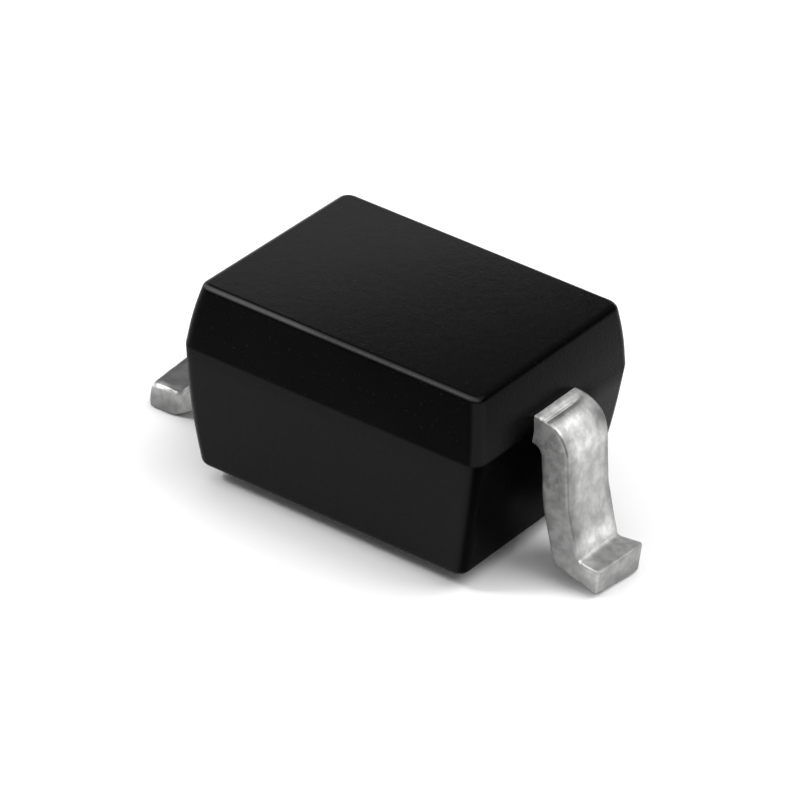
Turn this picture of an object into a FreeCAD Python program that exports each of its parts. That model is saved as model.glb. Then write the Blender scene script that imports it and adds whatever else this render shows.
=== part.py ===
import FreeCAD, Part

import math
import os

# Moulded zener diode with two gull-wing leads, in millimetres and degrees.
# The origin lies on the seating plane, midway between the leads. +X runs from the cathode
# lead to the anode lead, and +Z points away from the board.

# Moulded body
body_length = 1.70
body_width = 1.29
lower_height = 0.67
upper_height = 0.33
lower_draft = 7.0
upper_draft = 8.6
body_corner_radius = 0.07
top_edge_radius = 0.045
bottom_edge_radius = 0.035
body_standoff = 0.09
ejector_mark_diameter = 0.46
ejector_mark_depth = 0.02

# Gull wing outside the body, the same on both leads
overall_length = 2.60
lead_width = 0.35
lead_thickness = 0.15
lead_edge_radius = 0.015
edge_rounding_depth = 0.045
shoulder_share = 0.39
shoulder_radius = 0.03
upper_lean = 6.5
lower_lean = 16.5
knee_height = 0.42
knee_radius = 0.50
crease_height = 0.15
crease_radius = 0.02
heel_radius = 0.05
foot_top_rise = 6.0
foot_tilt = 13.5
toe_cut = 4.0

# Cathode lead inside the body
cathode_neck_length = 0.14
pad_downset = 0.20
ramp_angle = 50.0
ramp_radius = 0.04
pad_length = 0.66
pad_width = 0.62
pad_corner_radius = 0.05

# Anode lead inside the body
lead_gap = 0.22
post_length = 0.22
post_width = 0.54
post_corner_radius = 0.04

# Chip and its connections
die_size = 0.30
die_height = 0.12
die_offset = 0.04
attach_thickness = 0.015
attach_margin = 0.012
contact_size = 0.20
contact_thickness = 0.006
wire_diameter = 0.03
ball_diameter = 0.08
ball_height = 0.02
ball_neck_height = 0.015
loop_rise = 0.08
loop_radius = 0.05
stitch_margin = 0.045
stitch_length = 0.09
stitch_width = 0.06
stitch_corner_radius = 0.025
stitch_thickness = 0.012
stitch_slope = 20.0

# Places closer together than this count as one
tolerance = 0.00001

half_length = body_length / 2
body_height = lower_height + upper_height
total_height = body_standoff + body_height
exit_top = body_standoff + lower_height + lead_thickness / 2
pad_top = exit_top - pad_downset
lead_reach = (overall_length - body_length) / 2

os.makedirs("parts", exist_ok=True)


def meet(first, second):
    """Point where two runs cross. A run is a point on a line and the line's angle."""
    x1, z1, a1 = first
    x2, z2, a2 = second
    dx1, dz1 = math.cos(math.radians(a1)), math.sin(math.radians(a1))
    dx2, dz2 = math.cos(math.radians(a2)), math.sin(math.radians(a2))
    along = ((x2 - x1) * dz2 - (z2 - z1) * dx2) / (dx1 * dz2 - dz1 * dx2)
    return x1 + along * dx1, z1 + along * dz1


def shifted(run, distance):
    """The same run, moved sideways to the right of the way it points."""
    x, z, a = run
    return x + distance * math.sin(math.radians(a)), z - distance * math.cos(math.radians(a)), a


def rounded_wire(corners, closed=True):
    """Wire in the XZ plane through corners (x, z, radius), each rounded to its radius."""
    points = [FreeCAD.Vector(x, 0, z) for x, z, radius in corners]
    count = len(points)
    stretches = []
    for i, (x, z, radius) in enumerate(corners):
        here = points[i]
        end_of_open_wire = not closed and i in (0, count - 1)
        if radius == 0 or end_of_open_wire:
            stretches.append((here, here, here))
            continue
        back = (points[i - 1] - here).normalize()
        ahead = (points[(i + 1) % count] - here).normalize()
        half_angle = back.getAngle(ahead) / 2
        reach = radius / math.tan(half_angle)
        middle = (back + ahead).normalize() * (radius / math.sin(half_angle) - radius)
        stretches.append((here + back * reach, here + middle, here + ahead * reach))
    edges = []
    for i, (start, middle, end) in enumerate(stretches):
        if start != end:
            edges.append(Part.Arc(start, middle, end).toShape())
        if closed or i < count - 1:
            edges.append(Part.makeLine(end, stretches[(i + 1) % count][0]))
    return Part.Wire(edges)


def block(x_range, width, z_range):
    """Box between two values of x and two of z, centred across its width."""
    corner = FreeCAD.Vector(x_range[0], -width / 2, z_range[0])
    return Part.makeBox(x_range[1] - x_range[0], width, z_range[1] - z_range[0], corner)


def rounded_plate(x_range, width, corner_radius, z_range):
    """Like a block, with its four upright edges rounded."""
    plate = block(x_range, width, z_range)
    upright = [e for e in plate.Edges if e.BoundBox.ZLength > tolerance]
    return plate.makeFillet(corner_radius, upright)


def drafted_block(draft):
    """Block as tall as the body and as large as it at the parting line, with rounded corners.

    A positive draft widens it upwards, and a negative one narrows it upwards.
    """
    slope = math.tan(math.radians(draft))
    x_low = half_length - lower_height * slope
    x_high = half_length + upper_height * slope
    y_low = body_width / 2 - lower_height * slope
    y_high = body_width / 2 + upper_height * slope
    wedge = Part.makeWedge(
        -x_low, 0, -y_low, -y_high, -x_high, x_low, body_height, y_low, y_high, x_high
    )
    wedge.rotate(FreeCAD.Vector(0, 0, 0), FreeCAD.Vector(1, 0, 0), 90)
    wedge.translate(FreeCAD.Vector(0, 0, body_standoff))
    upright = [e for e in wedge.Edges if e.BoundBox.ZLength > body_height / 2]
    return wedge.makeFillet(body_corner_radius, upright)


def rim(body, height):
    """Edges round the body's flat face at one height."""
    level = [e for e in body.Edges if e.BoundBox.ZLength < tolerance]
    return [e for e in level if abs(e.BoundBox.ZMin - height) < tolerance]


def ejector_mark():
    """Shallow round dimple that the mould's ejector pin leaves in the underside."""
    centre = FreeCAD.Vector(0, 0, body_standoff)
    return Part.makeCylinder(ejector_mark_diameter / 2, ejector_mark_depth, centre)


def gull_wing_runs():
    """Runs of the lead's upper face, from the body's end to the foot, on the +X side."""
    leaving = (half_length, exit_top, 0)
    upper_riser = (half_length + shoulder_share * lead_reach, exit_top, upper_lean - 90)
    knee = meet(upper_riser, (0, knee_height, 0))
    lower_riser = (knee[0], knee[1], lower_lean - 90)
    crease = meet(lower_riser, (0, crease_height, 0))
    foot_top = (crease[0], crease[1], foot_top_rise)
    return [leaving, upper_riser, lower_riser, foot_top]


def toe_corners(foot_top):
    """Upper and lower corner of the toe, with its rounded lower edge just on the seating plane."""
    upper = meet(foot_top, (overall_length / 2, 0, 90))
    face = (upper[0], upper[1], 90 - toe_cut)
    corner_angle = 90 - toe_cut + foot_tilt
    half_angle = math.radians(180 - corner_angle) / 2
    bisector = math.radians(90 - toe_cut) + half_angle
    sunk = lead_edge_radius * (math.sin(bisector) / math.sin(half_angle) - 1)
    lower = meet(face, (0, -sunk, 0))
    return upper, lower


def lead_profile(inner_runs, inner_radii, inner_end):
    """Side outline of a lead on the +X side. inner_runs lead up to the body's end."""
    outer_runs = gull_wing_runs()
    top_runs = inner_runs + outer_runs
    toe_upper, toe_lower = toe_corners(outer_runs[-1])
    foot_bottom = (toe_lower[0], toe_lower[1], -foot_tilt)
    under_runs = [shifted(run, lead_thickness) for run in top_runs[:-1]] + [foot_bottom]
    radii = inner_radii + [
        (shoulder_radius + lead_thickness, shoulder_radius),
        (knee_radius, knee_radius + lead_thickness),
        (crease_radius, heel_radius),
    ]
    end_face = (inner_end, 0, 90)
    outline = [(*meet(end_face, top_runs[0]), 0)]
    for i, (top_radius, under_radius) in enumerate(radii):
        outline.append((*meet(top_runs[i], top_runs[i + 1]), top_radius))
    outline += [(*toe_upper, 0), (*toe_lower, 0)]
    for i, (top_radius, under_radius) in reversed(list(enumerate(radii))):
        outline.append((*meet(under_runs[i], under_runs[i + 1]), under_radius))
    outline.append((*meet(end_face, under_runs[0]), 0))
    return rounded_wire(outline)


def stamped_blank(head_range, head_width, corner_radius):
    """Outline of the flat blank as a tall block: a strip to the toe, wider at its inner end."""
    heights = (-body_standoff, total_height)
    strip = block((head_range[0], overall_length), lead_width, heights)
    head = rounded_plate(head_range, head_width, corner_radius, heights)
    return strip.fuse(head).removeSplitter()


def is_rounded(edge, start):
    """Whether an edge runs along a side of the strip past the start, or across the toe."""
    box = edge.BoundBox
    along_side = box.YLength < tolerance and abs(abs(box.YMin) - lead_width / 2) < tolerance
    across_toe = box.YLength > tolerance and box.XMin > overall_length / 2 - lead_thickness / 2
    return box.XMax > start + tolerance and (along_side or across_toe)


def bent_lead(profile, blank, widest):
    """The side outline, as wide as the blank allows, with rounded edges outside the body."""
    plate = Part.Face(profile).extrude(FreeCAD.Vector(0, widest, 0))
    plate.translate(FreeCAD.Vector(0, -widest / 2, 0))
    lead = plate.common(blank).removeSplitter()
    start = half_length - edge_rounding_depth
    outside = block((start, overall_length), widest, (-body_standoff, total_height))
    outer = lead.common(outside)
    edges = [e for e in outer.Edges if is_rounded(e, start)]
    return lead.cut(outside).fuse(outer.makeFillet(lead_edge_radius, edges)).removeSplitter()


def pad_range():
    """Where the chip's pad begins and ends, measured from the middle towards its own lead."""
    ramp_length = pad_downset / math.tan(math.radians(ramp_angle))
    pad_end = half_length - cathode_neck_length - ramp_length
    return pad_end - pad_length, pad_end


def cathode_lead():
    """Lead with a lowered pad for the chip, made on the +X side and mirrored to -X."""
    pad_start, pad_end = pad_range()
    pad = (pad_end, pad_top, 0)
    ramp = (pad_end, pad_top, ramp_angle)
    outer_radius = ramp_radius + lead_thickness
    radii = [(ramp_radius, outer_radius), (outer_radius, ramp_radius)]
    profile = lead_profile([pad, ramp], radii, pad_start)
    blank = stamped_blank((pad_start, pad_end), pad_width, pad_corner_radius)
    lead = bent_lead(profile, blank, pad_width)
    return lead.mirror(FreeCAD.Vector(0, 0, 0), FreeCAD.Vector(1, 0, 0))


def post_start():
    """Inner end of the anode lead."""
    pad_start, pad_end = pad_range()
    return -pad_start + lead_gap


def anode_lead():
    """Lead with a flat post for the bond wire, level with where it leaves the body."""
    start = post_start()
    profile = lead_profile([], [], start)
    blank = stamped_blank((start, start + post_length), post_width, post_corner_radius)
    return bent_lead(profile, blank, post_width)


def die_centre():
    """Where along X the chip sits, a little nearer the anode lead than the pad's middle."""
    pad_start, pad_end = pad_range()
    return -(pad_start + pad_end) / 2 + die_offset


def slab(size, bottom, thickness):
    """Square slab centred over the chip."""
    x = die_centre()
    return block((x - size / 2, x + size / 2), size, (bottom, bottom + thickness))


def ball_bond(x, bottom):
    """Squashed end of the wire with the cone that leads into it."""
    ball = Part.makeCylinder(ball_diameter / 2, ball_height, FreeCAD.Vector(x, 0, bottom))
    neck_foot = FreeCAD.Vector(x, 0, bottom + ball_height)
    return ball.fuse(Part.makeCone(ball_diameter / 2, wire_diameter / 2, ball_neck_height, neck_foot))


def wire_loop(start, end):
    """Round wire that rises from the ball bond and slopes down to the post."""
    loop_top = exit_top + loop_rise
    bend = meet((*end, -stitch_slope), (start[0], loop_top, 0))
    corners = [(*start, 0), (start[0], loop_top, loop_radius), (*bend, loop_radius), (*end, 0)]
    path = rounded_wire(corners, closed=False)
    centre = FreeCAD.Vector(start[0], 0, start[1])
    section = Part.makeCircle(wire_diameter / 2, centre, FreeCAD.Vector(0, 0, 1))
    return path.makePipeShell([Part.Wire([section])], True, True)


def bond_wire(contact_top, lead):
    """Ball bond on the contact, loop, and stitch bond flattened on the anode lead's post."""
    x = die_centre()
    stitch_start = post_start() + stitch_margin
    stitch_end = stitch_start + stitch_length
    stitch_heights = (exit_top, exit_top + stitch_thickness)
    stitch = rounded_plate(
        (stitch_start, stitch_end), stitch_width, stitch_corner_radius, stitch_heights
    )
    loop = wire_loop((x, contact_top + ball_height), ((stitch_start + stitch_end) / 2, exit_top))
    return ball_bond(x, contact_top).fuse([loop, stitch]).cut(lead).removeSplitter()


def molded_body(embedded):
    """Both drafted halves as one solid, moulded tightly round everything that it holds."""
    body = drafted_block(lower_draft).common(drafted_block(-upper_draft))
    body = body.makeFillet(bottom_edge_radius, rim(body, body_standoff))
    body = body.makeFillet(top_edge_radius, rim(body, total_height))
    return body.cut([ejector_mark()] + embedded)


cathode = cathode_lead()
anode = anode_lead()
die_bottom = pad_top + attach_thickness
contact_bottom = die_bottom + die_height
pieces = {
    "cathode_lead": cathode,
    "anode_lead": anode,
    "die_attach": slab(die_size + 2 * attach_margin, pad_top, attach_thickness),
    "silicon_die": slab(die_size, die_bottom, die_height),
    "anode_contact": slab(contact_size, contact_bottom, contact_thickness),
    "bond_wire": bond_wire(contact_bottom + contact_thickness, anode),
}
pieces["molded_body"] = molded_body(list(pieces.values()))

for name, shape in pieces.items():
    print(name, shape.isValid(), len(shape.Solids), round(shape.Volume, 6))
    shape.exportStep(f"parts/{name}.step")
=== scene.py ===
import math

import bmesh
import bpy
from mathutils import Matrix, Vector, noise


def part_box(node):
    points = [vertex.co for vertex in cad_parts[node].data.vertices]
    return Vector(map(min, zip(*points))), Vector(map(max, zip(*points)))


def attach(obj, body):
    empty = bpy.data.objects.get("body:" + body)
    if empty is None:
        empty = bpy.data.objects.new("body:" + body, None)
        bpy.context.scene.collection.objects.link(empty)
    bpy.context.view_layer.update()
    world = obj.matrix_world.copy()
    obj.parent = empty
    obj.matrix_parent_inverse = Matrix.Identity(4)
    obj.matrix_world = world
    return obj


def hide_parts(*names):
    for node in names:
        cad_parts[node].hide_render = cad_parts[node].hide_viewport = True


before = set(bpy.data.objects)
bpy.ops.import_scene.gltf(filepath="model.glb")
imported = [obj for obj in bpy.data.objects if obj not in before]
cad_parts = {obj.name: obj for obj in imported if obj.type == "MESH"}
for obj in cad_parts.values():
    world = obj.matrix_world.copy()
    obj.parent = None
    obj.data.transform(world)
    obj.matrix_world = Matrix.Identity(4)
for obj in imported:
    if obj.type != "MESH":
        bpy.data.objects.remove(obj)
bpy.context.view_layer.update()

# Shapes are modelled in millimetres and scaled to metres once each mesh is finished. Angles are in degrees.
mm = 0.001

# Moulded body
body_low, body_high = (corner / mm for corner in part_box("molded_body"))
body_length = body_high.x - body_low.x
body_width = body_high.y - body_low.y
lower_height = 0.67
parting_height = body_low.z + lower_height
lower_draft = 7.0
upper_draft = 8.6
body_corner_radius = 0.07
top_edge_radius = 0.032
bottom_edge_radius = 0.035
parting_edge_radius = 0.02
lower_half_swell = 0.010
upper_half_swell = 0.006
ejector_mark_radius = 0.23
ejector_mark_depth = 0.02
ejector_mark_lip = 0.005

# Both leads outside the body, drawn on the +X side
anode_low, anode_high = (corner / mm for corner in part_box("anode_lead"))
cathode_low, cathode_high = (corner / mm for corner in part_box("cathode_lead"))
exit_top = anode_high.z
toe_x = 1.30
lead_width = 0.35
lead_thickness = 0.15
shoulder_x = 1.0255
shoulder_radius = 0.18
shoulder_inner_radius = 0.06
upper_lean = 6.5
lower_lean = 16.5
knee_height = 0.42
knee_radius = 0.50
crease_height = 0.15
crease_radius = 0.02
heel_radius = 0.05
foot_top_rise = 6.0
foot_tilt = 13.5
toe_cut = 4.0
rounding_start = 0.805
strip_edge_radius = 0.028
toe_edge_radius = 0.018

# Small unevenness of the real leads
anode_foot_lift = 0.013
foot_roll_top = 0.45
near_toe_press = 0.035
press_at_crease = 0.45
near_toe_skew = 0.022
worn_corner_depth = 0.008
worn_corner_reach = 0.03
cathode_toe_x = 1.366
cathode_toe_radius = 0.064
cathode_edge_radius = 0.042
cathode_crease_radius = 0.06
cathode_flatness = 0.9
cathode_flat_reach = (1.08, 1.22)
groove_x = 0.902
groove_half_width = 0.022
groove_depth = 0.012
plating_swell = 0.0022
plating_swell_size = 0.07

# Inner ends of the leads, inside the body
pad_downset = 0.20
ramp_angle = 50.0
ramp_radius = 0.04
neck_x = 0.71
pad_end_x = neck_x - pad_downset / math.tan(math.radians(ramp_angle))
post_length = 0.22

# Fineness of the meshes
circle_segments = 48
corner_segments = 8
rim_segments = 6
parting_segments = 2
wall_slices = 8
shoulder_steps = 22
heel_steps = 8
knee_steps = 6
ramp_steps = 6
toe_segments = 5
strip_segments = 3
slice_width = 0.03

# Limits for choosing points, faces and edges: distances, parts of a normal, and an angle in radians
merge_distance = 0.00001
tolerance = 0.0001
square_on = 0.9
facing_up = 0.7
sharp_turn = 1.0

# Camera and light
view_azimuth = 32.88
view_elevation = 31.21
view_roll = 4.498
view_distance = 28.5
view_target = Vector((-0.011, -0.003, 0.496))
focal_length = 270.8
sensor_width = 36.0
floor_size = 600.0
horizon_glow = (0.07, 1.00)
low_sky = (0.16, 0.30)
high_sky = (0.50, 0.30)
zenith = (0.85, 1.30)


def meet(first, second):
    """Point where two runs cross. A run is a point on a line and the line's angle."""
    x1, z1, a1 = first
    x2, z2, a2 = second
    dx1, dz1 = math.cos(math.radians(a1)), math.sin(math.radians(a1))
    dx2, dz2 = math.cos(math.radians(a2)), math.sin(math.radians(a2))
    along = ((x2 - x1) * dz2 - (z2 - z1) * dx2) / (dx1 * dz2 - dz1 * dx2)
    return x1 + along * dx1, z1 + along * dz1


def shifted(run, distance):
    """The same run, moved sideways to the right of the way it points."""
    x, z, a = run
    return x + distance * math.sin(math.radians(a)), z - distance * math.cos(math.radians(a)), a


def lead_runs():
    """Runs of the lead's upper face outside the body, on the +X side."""
    leaving = (body_high.x, exit_top, 0)
    upper_riser = (shoulder_x, exit_top, upper_lean - 90)
    lower_riser = (*meet(upper_riser, (0, knee_height, 0)), lower_lean - 90)
    foot_top = (*meet(lower_riser, (0, crease_height, 0)), foot_top_rise)
    return [leaving, upper_riser, lower_riser, foot_top]


crease_x = lead_runs()[-1][0]


def smooth_step(value, start, end):
    """0 before start, 1 after end, and an even change between them."""
    share = min(max((value - start) / (end - start), 0.0), 1.0)
    return share * share * (3 - 2 * share)


def placed(name, data):
    """New object in the scene for a mesh, a lamp or the camera."""
    made = bpy.data.objects.new(name, data)
    bpy.context.scene.collection.objects.link(made)
    return made


def mesh_from(bm, name, material):
    """Close the bmesh and keep it as a mesh of one material."""
    mesh = bpy.data.meshes.new(name)
    bm.to_mesh(mesh)
    bm.free()
    mesh.materials.append(material)
    return mesh


def finished(bm, name, material, node):
    """Turn the bmesh into a piece in metres that stands for one node of the frame."""
    bmesh.ops.remove_doubles(bm, verts=bm.verts, dist=merge_distance)
    bmesh.ops.recalc_face_normals(bm, faces=bm.faces)
    bmesh.ops.scale(bm, vec=(mm, mm, mm), verts=bm.verts)
    mesh = mesh_from(bm, name, material)
    mesh.shade_smooth()
    piece = placed(name, mesh)
    weighted = piece.modifiers.new("flat_faces_stay_flat", "WEIGHTED_NORMAL")
    weighted.weight = 100
    weighted.keep_sharp = True
    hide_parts(node)
    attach(piece, "root")


class Signal:
    """One value in a material. Arithmetic on signals adds the Math nodes."""

    def __init__(self, finish, socket):
        self.finish = finish
        self.socket = socket

    def maths(self, operation, first, second):
        return self.finish.node("ShaderNodeMath", {"operation": operation}, {0: first, 1: second})

    def __add__(self, other):
        return self.maths("ADD", self, other)

    def __radd__(self, other):
        return self.maths("ADD", other, self)

    def __sub__(self, other):
        return self.maths("SUBTRACT", self, other)

    def __rsub__(self, other):
        return self.maths("SUBTRACT", other, self)

    def __mul__(self, other):
        return self.maths("MULTIPLY", self, other)

    def __rmul__(self, other):
        return self.maths("MULTIPLY", other, self)

    def __abs__(self):
        return self.maths("ABSOLUTE", self, 0.0)

    def step(self, start, end):
        """0 before start, 1 after end, and an even change between them."""
        settings = {"interpolation_type": "SMOOTHSTEP"}
        inputs = {"Value": self, "From Min": start, "From Max": end}
        return self.finish.node("ShaderNodeMapRange", settings, inputs)


class Finish:
    """A procedural material for one finish of the part. Its places are in millimetres."""

    def __init__(self, name):
        self.material = bpy.data.materials.new(name)
        self.material.use_nodes = True
        self.nodes = self.material.node_tree.nodes
        self.links = self.material.node_tree.links
        self.surface = self.nodes["Principled BSDF"]
        place = self.node("ShaderNodeTexCoord", output="Object")
        self.place = self.node("ShaderNodeMapping", inputs={"Vector": place, "Scale": (1 / mm,) * 3})

    def connect(self, socket, value):
        """Feed a socket from a signal, or set it to a constant."""
        if isinstance(value, Signal):
            self.links.new(value.socket, socket)
        else:
            socket.default_value = value

    def node(self, kind, settings=None, inputs=None, output=0):
        """Add a node of any type: its settings first, then what its sockets read."""
        made = self.nodes.new(kind)
        for name, value in (settings or {}).items():
            setattr(made, name, value)
        for name, value in (inputs or {}).items():
            self.connect(made.inputs[name], value)
        return Signal(self, made.outputs[output])

    def parts_of(self, vector):
        """The X, Y and Z parts of a vector."""
        return [self.node("ShaderNodeSeparateXYZ", inputs={"Vector": vector}, output=axis) for axis in "XYZ"]

    def facing(self):
        """The X, Y and Z parts of the direction that the surface faces, each from -1 to 1."""
        return self.parts_of(self.node("ShaderNodeTexCoord", output="Normal"))

    def noise(self, size, detail=2.0, roughness=0.5, stretch=(1.0, 1.0, 1.0)):
        """Noise whose blotches are about this size in millimetres."""
        place = self.node("ShaderNodeMapping", inputs={"Vector": self.place, "Scale": stretch})
        inputs = {"Vector": place, "Scale": 1 / size, "Detail": detail, "Roughness": roughness}
        return self.node("ShaderNodeTexNoise", inputs=inputs)

    def blend(self, share, first, second):
        """Mix two colours by a signal. A Mix node's colours are its inputs 6 and 7 and its output 2."""
        inputs = {"Factor": share, 6: first, 7: second}
        return self.node("ShaderNodeMix", {"data_type": "RGBA"}, inputs, output=2)

    def bump(self, height, depth):
        """Relief of the given depth in millimetres."""
        return self.node("ShaderNodeBump", inputs={"Height": height, "Distance": depth * mm})

    def dull(self, share, colour):
        """Take the shine away where share is 1, and show one plain colour there. The black epoxy uses it for
        painted shade.
        """
        matt = self.node("ShaderNodeBsdfDiffuse", inputs={"Color": colour})
        inputs = {0: share, 1: Signal(self, self.surface.outputs["BSDF"]), 2: matt}
        mixed = self.node("ShaderNodeMixShader", inputs=inputs)
        self.connect(self.nodes["Material Output"].inputs["Surface"], mixed)

    def set(self, **sockets):
        """Feed the surface's sockets, named in lower case with underscores."""
        for name, value in sockets.items():
            self.connect(self.surface.inputs[name.replace("_", " ").title().replace("Ior", "IOR")], value)
        return self.material


def grey(level):
    """Neutral colour of one level."""
    return (level, level, level, 1.0)


def black_epoxy():
    """Black moulding compound: a fine matt grain with pale grains of filler here and there."""
    finish = Finish("black_epoxy")
    cloud = finish.noise(0.6, detail=1.0)
    grain = finish.noise(0.012, detail=3.0, roughness=0.6)
    ripple = finish.noise(0.06)
    filler = finish.noise(0.016, detail=1.0).step(0.69, 0.75)
    along, across, height = finish.parts_of(finish.place)
    endways, sideways, upwards = finish.facing()
    endways, sideways = abs(endways), abs(sideways)
    # Painted light on the black: the lower half of the long sides is painted paler as a painted reflection,
    # the near upright corner above the parting line is painted paler as painted light, and the long top
    # edges carry a painted highlight. The filler grains are real.
    upper_half = height.step(parting_height - 0.01, parting_height + 0.01)
    lower_half = 1 - upper_half
    # Painted reflection: the lower half of the long sides is painted paler
    lower_side_painted_reflection = lower_half * sideways.step(0.72, 0.97)
    # Painted highlight: a pale line along the long top edges, weaker towards -X
    painted_edge_highlight = sideways.step(0.30, 0.60) * upwards.step(0.40, 0.70)
    painted_edge_highlight = painted_edge_highlight * (1 - 0.40 * along.step(-0.25, -0.05))
    # Painted light: the near upright corner is painted paler above the parting line
    corner = sideways.step(0.02, 0.25) * (1 - sideways.step(0.82, 0.965)) * (1 - upwards.step(0.30, 0.50))
    painted_light_corner = corner * along.step(0.20, 0.60) * (1 - across.step(-0.50, -0.20))
    painted_light_resin = (0.0092, 0.0092, 0.0094, 1.0)
    colour = finish.blend(cloud.step(0.35, 0.65), grey(0.0005), grey(0.0011))
    for share, tone in (
        (lower_side_painted_reflection, painted_light_resin),
        (painted_edge_highlight, grey(0.06)),
        (painted_light_corner * upper_half, painted_light_resin),
        (filler * 0.35, grey(0.014)),
    ):
        colour = finish.blend(share, colour, tone)
    # Painted shade: the ends are painted dark and matt below the parting line, and beside the leads as a
    # painted shadow of the leads
    painted_lead_shadow = (1 - abs(across).step(0.24, 0.40)) * (1 - height.step(exit_top - 0.08, exit_top))
    painted_shade_end = (1 - upper_half * (1 - painted_lead_shadow)) * endways.step(0.45, 0.80) * (1 - across.step(0.10, 0.40))
    finish.dull(painted_shade_end * (0.95 - 0.30 * cloud.step(0.40, 0.70)), grey(0.0008))
    return finish.set(
        base_color=colour,
        roughness=0.17 + 0.06 * grain + 0.03 * cloud + 0.04 * lower_half,
        specular_ior_level=0.03,
        normal=finish.bump(grain + 0.5 * ripple, 0.0012),
    )


class LeadSurface:
    """Signals for where on a lead a point is, and for which way the surface faces there."""

    def __init__(self, finish):
        from_middle, self.across, self.height = finish.parts_of(finish.place)
        self.along = abs(from_middle)
        self.anode_end = from_middle.step(-0.1, 0.1)
        endways, sideways, self.upwards = finish.facing()
        sideways = abs(sideways)
        self.endways = abs(endways)
        self.cut_side = sideways.step(0.55, 0.95)
        self.rolled = 1 - self.cut_side
        self.drawn_edge = sideways.step(0.15, 0.45) * (1 - sideways.step(0.75, 0.95))
        self.upper_edge = self.drawn_edge * self.upwards.step(0.3, 0.5)
        self.past_crease = self.along.step(crease_x - 0.01, crease_x + 0.03)
        self.before_crease = 1 - self.past_crease


def shoulder_tones(lead):
    """Places round the shoulder, each with how much brighter or darker the plating is painted there: painted
    light on the bend, painted shade on the shoulder's top and deeper in its groove, a painted highlight next
    to the body, and painted shade on the far bend and along the bend's edges.
    """
    shoulder = lead.height.step(exit_top - 0.05, exit_top - 0.01) * lead.upwards.step(0.70, 0.95)
    groove = 1 - abs(lead.along - groove_x).step(0.0, 1.5 * groove_half_width)
    by_body = 1 - lead.along.step(body_high.x + 0.01, body_high.x + 0.05)
    bend = lead.height.step(exit_top - 0.25, exit_top - 0.06)
    far_bend = lead.height.step(0.64, 0.76) * lead.across.step(0.0, 0.14)
    bend_edge = lead.drawn_edge * lead.height.step(0.66, 0.72) * (1 - lead.height.step(0.815, 0.83))
    return [
        # Painted light on the bend
        (bend * (1 - 0.7 * lead.cut_side), 0.80),
        # Painted shade on the shoulder's top, deeper in the groove
        (shoulder, -0.58),
        (shoulder * groove, -0.25),
        # Painted highlight next to the body
        (shoulder * by_body, 1.0),
        # Painted shade on the far side of the bend and along the bend's edges
        (far_bend * (1 - shoulder), -0.58),
        (bend_edge, -0.45),
    ]


def riser_tones(lead):
    """Places on the leaning stretch between the shoulder and the foot, each with its change of tone: the
    sheared sides darker, painted light just above the crease, and painted shade along the outer face's long
    edges and on the lower edges.
    """
    # Painted shade along both long edges of the outer face, fading out towards the shoulder
    painted_edge_shade = abs(lead.across - 0.015).step(0.09, 0.165) * (1 - lead.height.step(0.74, 0.84))
    # Painted light just above the crease, weaker on the far side
    above_crease = 1 - lead.height.step(crease_height + 0.05, crease_height + 0.14)
    above_crease = above_crease * (1 - 0.4 * lead.across.step(0.0, 0.17))
    lower_edge = lead.drawn_edge - lead.upper_edge
    return [
        (lead.cut_side, -0.28),
        (lead.rolled * lead.before_crease * above_crease, 1.1),
        # Painted shade along the outer face's long edges
        (lead.rolled * lead.before_crease * painted_edge_shade, -0.42),
        # Painted shade on the edges that face down
        (lead.before_crease * lower_edge, -0.25),
    ]


def foot_tones(lead):
    """Places on the feet, each with its change of tone: a darker cut toe, painted light and painted shade on
    the sides, tops and edges and low on the toe, and the cathode foot darker as a painted shadow of the
    body.
    """
    foot_side = lead.cut_side * lead.along.step(crease_x - 0.03, crease_x + 0.08)
    foot_top = lead.along.step(crease_x - 0.03, crease_x + 0.005) * lead.upwards.step(0.60, 0.95)
    near_crease = foot_top * (1 - lead.along.step(crease_x + 0.03, crease_x + 0.10))
    toe = lead.along.step(toe_x - 0.04, toe_x - 0.02) * lead.endways.step(0.7, 0.95)
    anode_foot = lead.past_crease * lead.anode_end
    cathode_foot = lead.past_crease * (1 - lead.anode_end)
    edge_at_crease = lead.upper_edge * (1 - lead.along.step(crease_x + 0.02, crease_x + 0.09))
    cathode_edge = lead.upper_edge * cathode_foot
    return [
        # Painted light on the upper part of the foot's sides
        (foot_side * lead.height.step(0.05, 0.12), 0.60),
        # Painted shade on the foot's top, with painted light on its near side next to the crease
        (foot_top, -0.43),
        (near_crease * (1 - lead.across.step(-0.15, -0.04)), 0.6),
        (toe, -0.25),
        # Painted shade low on the toe
        (toe * (1 - lead.height.step(0.02, 0.11)), -0.30),
        # Painted highlight on the anode foot's upper edges next to the crease
        (edge_at_crease * anode_foot, 0.8),
        # Painted shadow of the body over the cathode foot, deepest on its top
        (cathode_foot, -0.24),
        (cathode_foot * lead.upwards.step(0.75, 0.95), -0.60),
        # Painted highlight on the cathode foot's upper edges towards the toe, painted shade on them nearer
        # the crease
        (cathode_edge, -0.5),
        (cathode_edge * lead.along.step(1.19, 1.30), 3.0),
    ]


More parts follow.
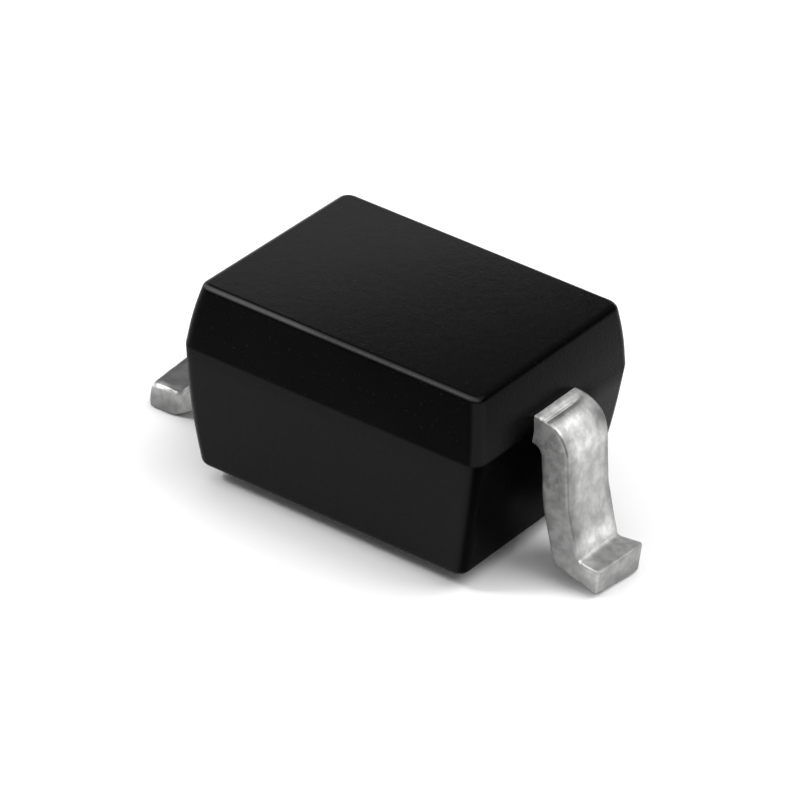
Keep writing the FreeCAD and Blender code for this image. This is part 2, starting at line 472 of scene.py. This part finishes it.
def matt_tin():
    """Matt tin plating: mottled on the rolled faces and duller on the sheared sides. Round the shoulder, on
    the riser and on the feet its tone carries painted light and painted shade.
    """
    finish = Finish("matt_tin")
    blotch = finish.noise(0.055, detail=3.0, roughness=0.55)
    fine = finish.noise(0.012)
    lead = LeadSurface(finish)
    level = 0.35 + 0.16 * blotch.step(0.30, 0.70)
    for place, change in shoulder_tones(lead) + riser_tones(lead) + foot_tones(lead):
        level = level * (1 + change * place)
    return finish.set(
        base_color=finish.blend(level, grey(0.0), (1.0, 1.0, 0.99, 1.0)),
        metallic=0.85,
        roughness=0.44 + 0.12 * blotch + 0.08 * lead.cut_side - 0.12 * lead.upper_edge,
        normal=finish.bump(blotch + 0.35 * fine, 0.0030),
    )


def sawn_silicon():
    """Grey polished silicon with faint marks of the saw."""
    finish = Finish("sawn_silicon")
    marks = finish.noise(0.02, detail=1.0, stretch=(8.0, 1.0, 1.0))
    colour = finish.blend(marks, (0.10, 0.11, 0.13, 1.0), (0.15, 0.16, 0.18, 1.0))
    return finish.set(base_color=colour, roughness=0.20 + 0.15 * marks, metallic=0.3)


def silver_adhesive():
    """Dull grey adhesive filled with metal flakes."""
    finish = Finish("silver_adhesive")
    flakes = finish.noise(0.008)
    return finish.set(base_color=finish.blend(flakes, grey(0.34), grey(0.56)), roughness=0.6, metallic=0.2)


def satin_metal(name, dark, light):
    """Soft shining metal whose tone changes a little from place to place."""
    finish = Finish(name)
    tone = finish.noise(0.03)
    return finish.set(base_color=finish.blend(tone, dark, light), roughness=0.22 + 0.16 * tone, metallic=1.0)


def verts_of(result, key="geom"):
    """The vertices in what an operator returns."""
    return [item for item in result[key] if isinstance(item, bmesh.types.BMVert)]


def bevelled(bm, geom, radius, segments, affect="EDGES"):
    """Round the given edges or corners."""
    return bmesh.ops.bevel(
        bm, geom=geom, offset=radius, offset_type="OFFSET", segments=segments,
        profile=0.5, affect=affect, material=-1, clamp_overlap=True,
    )


def cut_at(bm, point, normal):
    """Divide every face that the plane crosses."""
    geom = bm.verts[:] + bm.edges[:] + bm.faces[:]
    bmesh.ops.bisect_plane(bm, geom=geom, dist=merge_distance, plane_co=point, plane_no=normal)


def narrowed(height, draft):
    """Scale of a drafted half's far face against the parting line."""
    shrink = 2 * height * math.tan(math.radians(draft))
    return Vector(((body_length - shrink) / body_length, (body_width - shrink) / body_width, 1))


def moulded_block(material):
    """The body: two drafted halves with rounded corners and rims, and the mark underneath."""
    upper_height = body_high.z - body_low.z - lower_height
    bm = bmesh.new()
    bmesh.ops.create_grid(bm, x_segments=1, y_segments=1, size=0.5)
    bmesh.ops.scale(bm, vec=(body_length, body_width, 1), verts=bm.verts)
    bevelled(bm, bm.verts[:], body_corner_radius, corner_segments, affect="VERTICES")
    bmesh.ops.translate(bm, vec=(0, 0, body_low.z), verts=bm.verts)
    parting = verts_of(bmesh.ops.extrude_face_region(bm, geom=bm.faces[:]))
    bottom = [v for v in bm.verts if v not in parting]
    bmesh.ops.scale(bm, vec=narrowed(lower_height, lower_draft), verts=bottom)
    bmesh.ops.translate(bm, vec=(0, 0, lower_height), verts=parting)
    lid = [f for f in bm.faces if all(v in parting for v in f.verts)]
    top = verts_of(bmesh.ops.extrude_face_region(bm, geom=lid))
    bmesh.ops.scale(bm, vec=narrowed(upper_height, upper_draft), verts=top)
    bmesh.ops.translate(bm, vec=(0, 0, upper_height), verts=top)
    for height, radius, segments in (
        (body_high.z, top_edge_radius, rim_segments),
        (body_low.z, bottom_edge_radius, rim_segments),
        (parting_height, parting_edge_radius, parting_segments),
    ):
        ring = [e for e in bm.edges if all(abs(v.co.z - height) < tolerance for v in e.verts)]
        bevelled(bm, ring, radius, segments)
    swell_walls(bm, body_low.z + bottom_edge_radius, parting_height - parting_edge_radius, lower_half_swell)
    swell_walls(bm, parting_height + parting_edge_radius, body_high.z - top_edge_radius, upper_half_swell)
    ejector_mark(bm)
    finished(bm, "moulded_block", material, "molded_body")


def swell_walls(bm, bottom, top, swell):
    """Make the drafted walls between two heights very slightly convex."""
    for i in range(1, wall_slices):
        cut_at(bm, (0, 0, bottom + (top - bottom) * i / wall_slices), (0, 0, 1))
    for vert in bm.verts:
        share = (vert.co.z - bottom) / (top - bottom)
        if 0 < share < 1:
            outwards = 4 * share * (1 - share) * swell
            vert.co.x *= 1 + 2 * outwards / body_length
            vert.co.y *= 1 + 2 * outwards / body_width


def ring_at(bm, radius, height, cap=False):
    """Circle round the Z axis. Returns its edges."""
    matrix = Matrix.Translation((0, 0, height))
    made = bmesh.ops.create_circle(bm, cap_ends=cap, radius=radius, segments=circle_segments, matrix=matrix)
    return list(dict.fromkeys(edge for vert in made["verts"] for edge in vert.link_edges))


def ejector_mark(bm):
    """Shallow round dimple in the middle of the underside. Its lip is soft, and the face round it flat."""
    base = min(bm.faces, key=lambda f: f.calc_center_median().z)
    rim = base.edges[:]
    bmesh.ops.delete(bm, geom=[base], context="FACES_ONLY")
    rings = [
        ring_at(bm, ejector_mark_radius + ejector_mark_lip, body_low.z),
        ring_at(bm, ejector_mark_radius, body_low.z + ejector_mark_lip),
        ring_at(bm, ejector_mark_radius, body_low.z + ejector_mark_depth, cap=True),
    ]
    for outer, inner in zip([rim] + rings, rings):
        bmesh.ops.bridge_loops(bm, edges=outer + inner)
    for edge in rim + rings[0]:
        edge.smooth = False


def rounded_line(bm, corners):
    """Chain of edges in the XZ plane through corners (x, z, radius, steps), each turned with an arc."""
    points = [Vector((x, 0, z)) for x, z, radius, steps in corners]
    tip = bm.verts.new(points[0])
    edges = []
    for before, corner, after, (x, z, radius, steps) in zip(points, points[1:], points[2:], corners[1:]):
        back, ahead = (before - corner).normalized(), (after - corner).normalized()
        half_angle = back.angle(ahead) / 2
        made = bmesh.ops.extrude_vert_indiv(bm, verts=[tip])
        tip = made["verts"][0]
        tip.co = corner + back * radius / math.tan(half_angle)
        edges += made["edges"]
        centre = corner + (back + ahead).normalized() * radius / math.sin(half_angle)
        turn = math.copysign(math.pi - 2 * half_angle, ahead.cross(back).y)
        known = set(bm.edges)
        made = bmesh.ops.spin(bm, geom=[tip], cent=centre, axis=(0, 1, 0), angle=turn, steps=steps)
        tip = verts_of(made, "geom_last")[0]
        edges += [edge for edge in bm.edges if edge not in known]
    made = bmesh.ops.extrude_vert_indiv(bm, verts=[tip])
    made["verts"][0].co = points[-1]
    return edges + made["edges"]


def lead_outline(inner_runs, inner_bends, inner_end, toe, crease):
    """Corners of the lead's upper and lower line, from its inner end to the toe, on the +X side."""
    top_runs = inner_runs + lead_runs()
    toe_face = (*meet(top_runs[-1], (toe, 0, 90)), 90 - toe_cut)
    toe_bottom = meet(toe_face, (0, 0, 0))
    under_runs = [shifted(run, lead_thickness) for run in top_runs[:-1]] + [(*toe_bottom, -foot_tilt)]
    bends = inner_bends + [
        (shoulder_radius, shoulder_inner_radius, shoulder_steps),
        (knee_radius, knee_radius + lead_thickness, knee_steps),
        (crease, heel_radius, heel_steps),
    ]
    end_face = (inner_end, 0, 90)
    top = [(*meet(end_face, top_runs[0]), 0, 0)]
    under = [(*meet(end_face, under_runs[0]), 0, 0)]
    for i, (top_radius, under_radius, steps) in enumerate(bends):
        top.append((*meet(top_runs[i], top_runs[i + 1]), top_radius, steps))
        under.append((*meet(under_runs[i], under_runs[i + 1]), under_radius, steps))
    return top + [(*toe_face[:2], 0, 0)], under + [(*toe_bottom, 0, 0)]


def widen_head(bm, head_end, head_width):
    """Make the strip wider from its inner end as far as head_end."""
    cut_at(bm, (head_end, 0, 0), (1, 0, 0))
    for side in (-1, 1):
        faces = [
            f for f in bm.faces
            if f.normal.y * side > square_on and f.calc_center_median().x < head_end
        ]
        moved = verts_of(bmesh.ops.extrude_face_region(bm, geom=faces))
        bmesh.ops.translate(bm, vec=(0, side * (head_width - lead_width) / 2, 0), verts=moved)


def outside_edges(bm, cut_faces):
    """Edges outside the body that touch this many of the strip's two cut sides."""
    chosen = []
    for edge in bm.edges:
        beyond = min(v.co.x for v in edge.verts) > rounding_start - tolerance
        if beyond and len(edge.link_faces) == 2:
            if sum(abs(face.normal.y) > square_on for face in edge.link_faces) == cut_faces:
                chosen.append(edge)
    return chosen


def round_strip(bm, toe_radius, edge_radius):
    """Round the edges across the toe, then the long edges outside the body."""
    toe_reach = max(v.co.x for v in bm.verts) - lead_thickness / 4
    across_toe = [
        edge for edge in outside_edges(bm, 0)
        if edge.calc_face_angle() > sharp_turn and min(v.co.x for v in edge.verts) > toe_reach
    ]
    bevelled(bm, across_toe, toe_radius, toe_segments)
    bm.normal_update()
    bevelled(bm, outside_edges(bm, 1), edge_radius, strip_segments)


def slice_strip(bm):
    """Divide the large faces, so that the strip's unevenness has points to move."""
    for i in range(1, math.ceil(lead_width / slice_width)):
        cut_at(bm, (0, i * slice_width - lead_width / 2, 0), (0, 1, 0))
    for i in range(1, math.ceil(exit_top / slice_width)):
        cut_at(bm, (0, 0, i * slice_width), (0, 0, 1))
    for i in range(math.ceil(body_high.x / slice_width), math.ceil(cathode_toe_x / slice_width)):
        cut_at(bm, (i * slice_width, 0, 0), (1, 0, 0))


def bent_strip(outline, head_end, head_width, toe_radius, edge_radius):
    """Lead on the +X side as a bent strip of even width with a wider inner end."""
    bm = bmesh.new()
    top, under = outline
    bmesh.ops.bridge_loops(bm, edges=rounded_line(bm, top) + rounded_line(bm, under))
    moved = verts_of(bmesh.ops.extrude_face_region(bm, geom=bm.faces[:]))
    bmesh.ops.translate(bm, vec=(0, lead_width, 0), verts=moved)
    bmesh.ops.translate(bm, vec=(0, -lead_width / 2, 0), verts=bm.verts)
    bmesh.ops.recalc_face_normals(bm, faces=bm.faces)
    cut_at(bm, (rounding_start, 0, 0), (1, 0, 0))
    round_strip(bm, toe_radius, edge_radius)
    widen_head(bm, head_end, head_width)
    slice_strip(bm)
    return bm


def plate(bm, seed):
    """Give the strip the faint swellings of matt plating and the groove across the shoulder."""
    bm.normal_update()
    offset = Vector((seed, seed, seed))
    moves = []
    for vert in bm.verts:
        swell = plating_swell * noise.noise((vert.co + offset) / plating_swell_size)
        on_shoulder = vert.normal.z > facing_up and vert.co.z > exit_top - lead_thickness
        closeness = math.exp(-(((vert.co.x - groove_x) / groove_half_width) ** 2))
        reach = 1 - smooth_step(vert.co.y, lead_width / 4, lead_width / 2)
        groove = groove_depth * closeness * reach if on_shoulder else 0.0
        moves.append((vert, vert.normal * (swell - groove)))
    for vert, move in moves:
        if vert.co.x > body_high.x - body_corner_radius:
            vert.co += move


def settle_foot(bm, toe, lift=0.0, skew=0.0, wear=0.0, flatness=0.0):
    """Give a foot its small unevenness: near toe corner pressed down, a roll about its length,
    a toe that isn't quite square, a worn far corner and a flattened underside."""
    far_corner = Vector((toe, lead_width / 2))
    for vert in bm.verts:
        x, y, z = vert.co
        if z > foot_roll_top:
            continue
        nearness = 0.5 - y / lead_width
        outwards = smooth_step(x, crease_x, toe)
        upper = smooth_step(z, crease_height / 2, crease_height)
        low = 1 - smooth_step(z, crease_height, foot_roll_top)
        from_corner = (vert.co.xy - far_corner).length / worn_corner_reach
        press = near_toe_press * nearness * upper * (press_at_crease + (1 - press_at_crease) * outwards)
        under = flatness * z * (1 - upper) * smooth_step(x, *cathode_flat_reach)
        vert.co.z += low * (2 * lift * nearness - press) - under
        vert.co.x -= skew * nearness * outwards + wear * math.exp(-from_corner ** 2)


def anode_strip(material):
    """Lead on the right of the photo, whose foot sits a little uneven."""
    outline = lead_outline([], [], anode_low.x, toe_x, crease_radius)
    head_width = anode_high.y - anode_low.y
    bm = bent_strip(outline, anode_low.x + post_length, head_width, toe_edge_radius, strip_edge_radius)
    plate(bm, seed=0.0)
    settle_foot(bm, toe_x, lift=anode_foot_lift, skew=near_toe_skew, wear=worn_corner_depth)
    finished(bm, "anode_strip", material, "anode_lead")


def cathode_strip(material):
    """Lead on the left of the photo, with a lowered pad for the chip inside the body."""
    pad = (pad_end_x, exit_top - pad_downset, 0)
    ramp = (pad_end_x, exit_top - pad_downset, ramp_angle)
    outer_radius = ramp_radius + lead_thickness
    bends = [(ramp_radius, outer_radius, ramp_steps), (outer_radius, ramp_radius, ramp_steps)]
    outline = lead_outline([pad, ramp], bends, -cathode_high.x, cathode_toe_x, cathode_crease_radius)
    head_width = cathode_high.y - cathode_low.y
    bm = bent_strip(outline, pad_end_x, head_width, cathode_toe_radius, cathode_edge_radius)
    plate(bm, seed=3.0)
    settle_foot(bm, cathode_toe_x, flatness=cathode_flatness)
    bmesh.ops.scale(bm, vec=(-1, 1, 1), verts=bm.verts)
    finished(bm, "cathode_strip", material, "cathode_lead")


def dress_node(name, material):
    """Give a solid that stays as it is its own finish."""
    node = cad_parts[name]
    node.data.materials.clear()
    node.data.materials.append(material)


def floor():
    """Plain pale floor."""
    bm = bmesh.new()
    bmesh.ops.create_grid(bm, x_segments=1, y_segments=1, size=floor_size * mm)
    paint = Finish("pale_floor").set(base_color=grey(0.95), roughness=0.9, specular_ior_level=0.0)
    placed("floor", mesh_from(bm, "floor", paint))


def studio_world():
    """White surroundings at the horizon, dimmer above it and brightest overhead."""
    world = bpy.data.worlds.new("studio")
    bpy.context.scene.world = world
    world.use_nodes = True
    nodes, links = world.node_tree.nodes, world.node_tree.links
    place = nodes.new("ShaderNodeTexCoord")
    parts = nodes.new("ShaderNodeSeparateXYZ")
    sky = nodes.new("ShaderNodeValToRGB")
    sky.color_ramp.interpolation = "EASE"
    stops = sky.color_ramp.elements
    for stop, (rise, level) in zip(stops, (horizon_glow, zenith)):
        stop.position = rise
        stop.color = grey(level)
    for rise, level in (low_sky, high_sky):
        stops.new(rise).color = grey(level)
    links.new(place.outputs["Object"], parts.inputs["Vector"])
    links.new(parts.outputs["Z"], sky.inputs["Fac"])
    links.new(sky.outputs["Color"], nodes["Background"].inputs["Color"])


def lamp(name, azimuth, elevation, strength, softness):
    """Soft distant lamp. Azimuth is counted from the front, -Y, towards +X."""
    light = bpy.data.lights.new(name, "SUN")
    light.energy = strength
    light.angle = math.radians(softness)
    placed(name, light).rotation_euler = (math.radians(90 - elevation), 0, math.radians(azimuth))


def card(name, place, azimuth, roll, width, height, brightness):
    """Small upright glowing card beside the part. Its place and size are in millimetres."""
    light = bpy.data.lights.new(name, "AREA")
    light.shape = "RECTANGLE"
    light.size = width * mm
    light.size_y = height * mm
    light.energy = brightness * math.pi * light.size * light.size_y
    piece = placed(name, light)
    piece.location = place * mm
    piece.rotation_euler = (math.radians(90), math.radians(roll), math.radians(azimuth))
    piece.visible_camera = False
    piece.visible_diffuse = False


def camera():
    """Camera at the photograph's viewing angle."""
    data = bpy.data.cameras.new("camera")
    data.lens = focal_length
    data.sensor_width = sensor_width
    data.clip_start = 0.001
    data.clip_end = 10.0
    turn = Matrix.Rotation(math.radians(view_azimuth), 4, "Z")
    tilt = Matrix.Rotation(math.radians(90 - view_elevation), 4, "X")
    roll = Matrix.Rotation(math.radians(view_roll), 4, "Z")
    away = Matrix.Translation((0, 0, view_distance * mm))
    piece = placed("camera", data)
    piece.matrix_world = Matrix.Translation(view_target * mm) @ turn @ tilt @ away @ roll
    bpy.context.scene.camera = piece


epoxy = black_epoxy()
tin = matt_tin()
moulded_block(epoxy)
anode_strip(tin)
cathode_strip(tin)
dress_node("silicon_die", sawn_silicon())
dress_node("die_attach", silver_adhesive())
dress_node("anode_contact", satin_metal("contact_metal", grey(0.70), grey(0.84)))
dress_node("bond_wire", satin_metal("gold_wire", (0.72, 0.50, 0.18, 1.0), (0.90, 0.68, 0.30, 1.0)))
floor()
studio_world()
lamp("key", azimuth=120, elevation=60, strength=1.3, softness=40)
lamp("rim", azimuth=-42, elevation=46, strength=1.2, softness=12)
card(
    "back_card", place=Vector((-2.118, 0.89, 1.78)), azimuth=213, roll=-16,
    width=6.6, height=1.32, brightness=1.85,
)
camera()
bpy.context.scene.view_settings.view_transform = "Standard"
